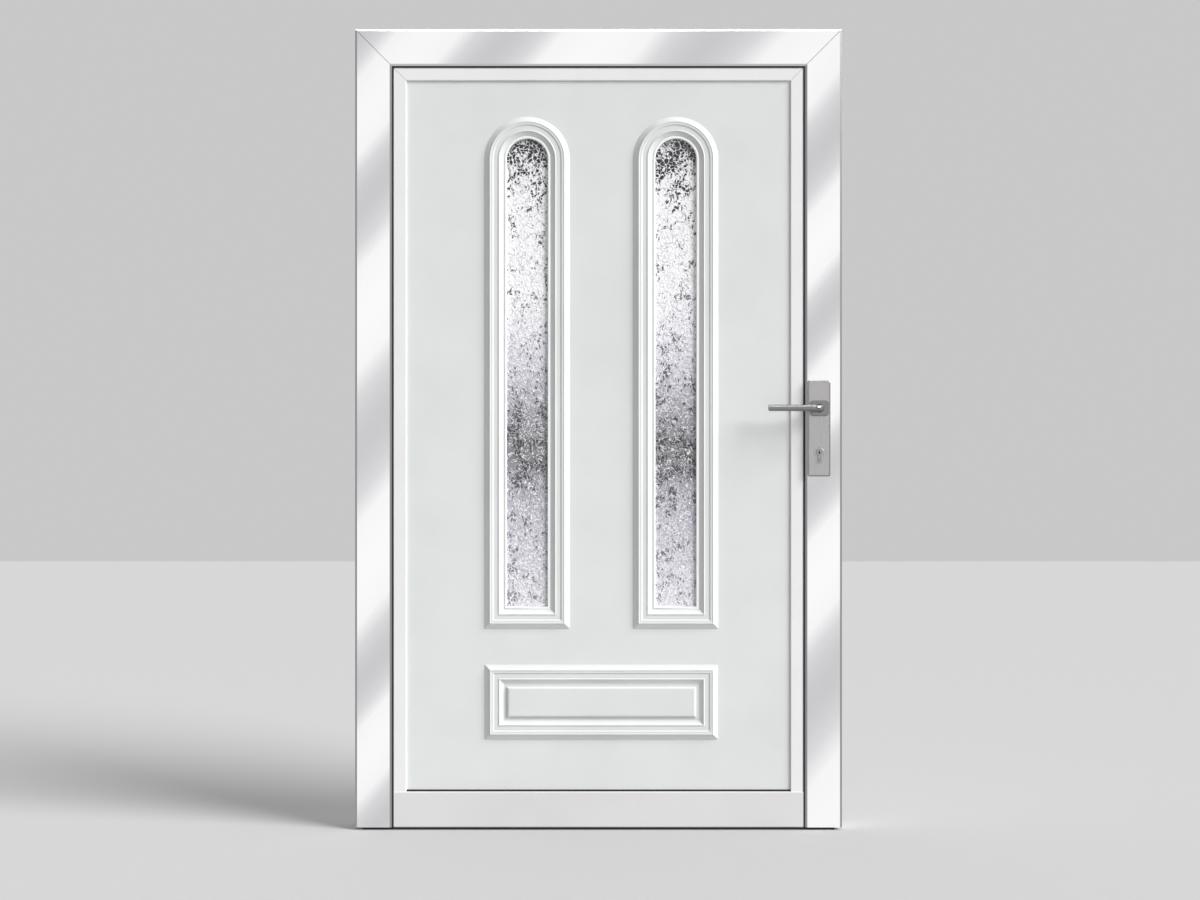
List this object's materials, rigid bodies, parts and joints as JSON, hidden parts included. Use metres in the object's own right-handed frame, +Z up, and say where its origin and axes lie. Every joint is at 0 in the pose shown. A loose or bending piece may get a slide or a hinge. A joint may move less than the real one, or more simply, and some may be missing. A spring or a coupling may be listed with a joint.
{
  "type": "entrance door",
  "caption": "Hinged entrance door with a polished metal band, arched ice glass lites, a moulded lower panel, a lever handle with a lock cylinder, and its slim frame.",
  "frame": {"origin": "on the floor, at the middle of the threshold's underside", "axes": "+X right towards the lock, +Z up, -Y towards the street side that the picture shows"},
  "size_m": [1.216, 0.2034, 2],
  "materials": {
    "polished_band": "polished",
    "painted_rail": "satin",
    "white_bead": "satin",
    "panel_white": "satin",
    "panel_foam": "rigid foam",
    "ice_glass": "cast ice pattern",
    "spacer_metal": "mill",
    "black_rubber": "matte",
    "frame_paint": "satin",
    "threshold_metal": "anodised",
    "handle_steel": "brushed",
    "lock_steel": "satin nickel",
    "hinge_steel": "zinc plated"
  },
  "bodies": {
    "frame": {"jamb_hinge_side": "frame_paint", "jamb_lock_side": "frame_paint", "frame_head": "frame_paint", "threshold": "threshold_metal", "door_stop": "frame_paint", "stop_gasket": "black_rubber", "strike_plate": "lock_steel", "hinge_pins": "hinge_steel", "hinge_bottom_frame_part": "hinge_steel", "hinge_middle_frame_part": "hinge_steel", "hinge_top_frame_part": "hinge_steel"},
    "leaf": {"stile_hinge_side": "polished_band", "stile_lock_side": "polished_band", "top_rail": "polished_band", "bottom_rail": "painted_rail", "bead_left": "white_bead", "bead_right": "white_bead", "bead_top": "white_bead", "front_gasket": "black_rubber", "back_gasket": "black_rubber", "sill_gasket": "black_rubber", "bottom_seal": "black_rubber", "panel_front_skin": "panel_white", "panel_core": "panel_foam", "panel_back_skin": "panel_white", "lower_insert_front": "panel_white", "lower_insert_back": "panel_white", "arch_moulding_front_left": "panel_white", "arch_moulding_front_right": "panel_white", "arch_moulding_back_left": "panel_white", "arch_moulding_back_right": "panel_white", "pane_front_left": "ice_glass", "pane_front_right": "ice_glass", "pane_back_left": "ice_glass", "pane_back_right": "ice_glass", "glass_spacers": "spacer_metal", "handle_plate_front": "handle_steel", "handle_plate_back": "handle_steel", "lock_cylinder": "lock_steel", "lock_faceplate": "lock_steel", "lock_bolts": "lock_steel", "hinge_bottom_leaf_part": "hinge_steel", "hinge_middle_leaf_part": "hinge_steel", "hinge_top_leaf_part": "hinge_steel"},
    "handle": {"lever_front": "handle_steel", "lever_back": "handle_steel", "spindle": "lock_steel"},
    "plug_front": {"lock_plug_front": "lock_steel"},
    "plug_back": {"lock_plug_back": "lock_steel"}
  },
  "joints": [
    {"name": "leaf_swing", "type": "hinge", "parent": "frame", "child": "leaf", "pos_m": [-0.598, -0.051, 0.975], "axis": [0, 0, -1], "range_deg": [0, 100]},
    {"name": "lever_turn", "type": "hinge", "parent": "leaf", "child": "handle", "pos_m": [0.55, 0, 1.053], "axis": [0, -1, 0], "range_deg": [0, 40], "stiffness_Nm_per_rad": 1.5, "springref_deg": -40.11},
    {"name": "plug_front_turn", "type": "hinge", "parent": "leaf", "child": "plug_front", "pos_m": [0.55, -0.062, 0.943], "axis": [0, -1, 0], "continuous": true},
    {"name": "plug_back_turn", "type": "hinge", "parent": "leaf", "child": "plug_back", "pos_m": [0.55, 0.015, 0.943], "axis": [0, -1, 0], "continuous": true}
  ]
}
